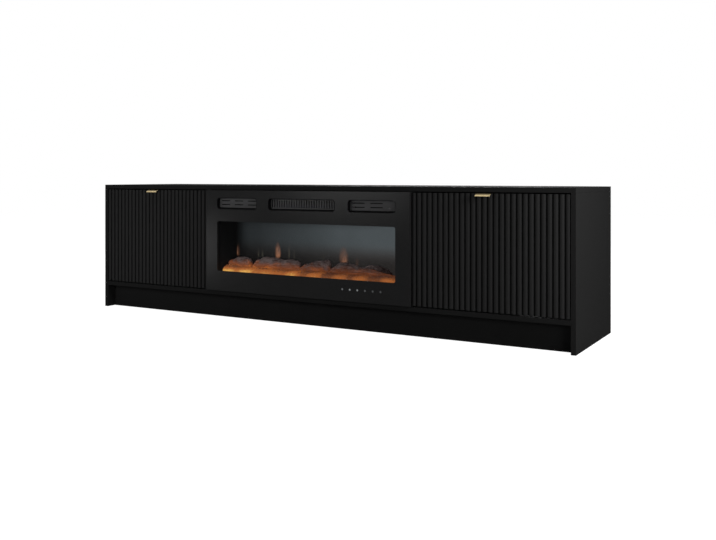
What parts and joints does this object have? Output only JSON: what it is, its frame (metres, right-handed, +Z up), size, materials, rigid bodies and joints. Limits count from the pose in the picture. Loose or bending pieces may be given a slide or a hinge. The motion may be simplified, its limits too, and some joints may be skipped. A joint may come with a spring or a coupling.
{
  "type": "fireplace tv stand",
  "caption": "Low TV cabinet with fluted drop-down doors and gold edge pulls at both ends, and an electric fire with window, vents and touch keys between them.",
  "frame": {"origin": "on the floor, under the middle of the whole stand, handles included", "axes": "+X to the right along the front, +Y to the back, +Z up"},
  "size_m": [2, 0.46, 0.512],
  "materials": {
    "black_steel": "black powder-coated sheet steel",
    "bright_steel": "zinc-plated steel",
    "bright_aluminium": "bright rolled aluminium",
    "circuit_board": "green solder mask with parts",
    "black_plastic": "fine-grained black moulding",
    "ember_resin": "translucent amber resin, lit from below",
    "satin_black_panel": "satin black powder coat",
    "smoked_screen": "smoked diffusing acrylic",
    "black_board": "matte black melamine-faced chipboard",
    "ceramic": "ceramic heater block",
    "infrared_plastic": "dark infrared window",
    "fluted_black_lacquer": "satin black lacquer on milled fibreboard",
    "black_nylon": "black nylon bush",
    "brushed_gold": "fine brushed gold",
    "log_resin": "moulded, painted log",
    "grey_plastic": "milky light guides",
    "clear_glass": "clear float glass"
  },
  "bodies": {
    "root": {"blower_housing": "black_steel", "blower_motor": "bright_steel", "chamber_ceiling": "black_steel", "chamber_liner": "black_steel", "control_board": "circuit_board", "cord_gland": "black_plastic", "ember_bed": "ember_resin", "ember_led_strip": "circuit_board", "fire_case": "black_steel", "fire_front_panel": "satin_black_panel", "flame_screen": "smoked_screen", "floor_panel": "black_board", "heater_grille": "black_plastic", "heating_element": "ceramic", "ir_receiver": "infrared_plastic", "left_back_panel": "black_board", "left_door_inner_pin": "black_steel", "left_door_outer_pin": "black_steel", "left_magnet_catch": "black_plastic", "left_partition": "black_board", "left_shelf": "black_board", "left_side_panel": "black_board", "left_stay_plate": "bright_steel", "left_vent_grille": "black_plastic", "log_back": "log_resin", "log_centre": "log_resin", "log_far_left": "log_resin", "log_left": "log_resin", "log_right": "log_resin", "plinth_front": "black_board", "plinth_rear_rail": "black_board", "rear_stretcher": "black_board", "right_back_panel": "black_board", "right_door_inner_pin": "black_steel", "right_door_outer_pin": "black_steel", "right_magnet_catch": "black_plastic", "right_partition": "black_board", "right_shelf": "black_board", "right_side_panel": "black_board", "right_stay_plate": "bright_steel", "right_vent_grille": "black_plastic", "spindle_motor": "bright_steel", "top_panel": "black_board", "touch_key_strip": "grey_plastic", "window_glass": "clear_glass"},
    "left_door": {"left_door": "fluted_black_lacquer", "left_door_inner_bush": "black_nylon", "left_door_outer_bush": "black_nylon", "left_handle": "brushed_gold", "left_stay_lever": "bright_steel", "left_strike_plate": "bright_steel"},
    "right_door": {"right_door": "fluted_black_lacquer", "right_door_inner_bush": "black_nylon", "right_door_outer_bush": "black_nylon", "right_handle": "brushed_gold", "right_stay_lever": "bright_steel", "right_strike_plate": "bright_steel"},
    "flame_spindle": {"flame_spindle": "bright_aluminium"},
    "blower_wheel": {"blower_wheel": "bright_aluminium"}
  },
  "joints": [
    {"name": "left_door_hinge", "type": "hinge", "parent": "root", "child": "left_door", "pos_m": [-0.712, -0.201, 0.122], "axis": [1, 0, 0], "range_deg": [0, 90]},
    {"name": "right_door_hinge", "type": "hinge", "parent": "root", "child": "right_door", "pos_m": [0.712, -0.201, 0.122], "axis": [1, 0, 0], "range_deg": [0, 90]},
    {"name": "flame_spindle_spin", "type": "hinge", "parent": "root", "child": "flame_spindle", "pos_m": [0, -0.079, 0.1985], "axis": [1, 0, 0], "continuous": true},
    {"name": "blower_wheel_spin", "type": "hinge", "parent": "root", "child": "blower_wheel", "pos_m": [0, -0.12405, 0.443], "axis": [1, 0, 0], "continuous": true}
  ]
}
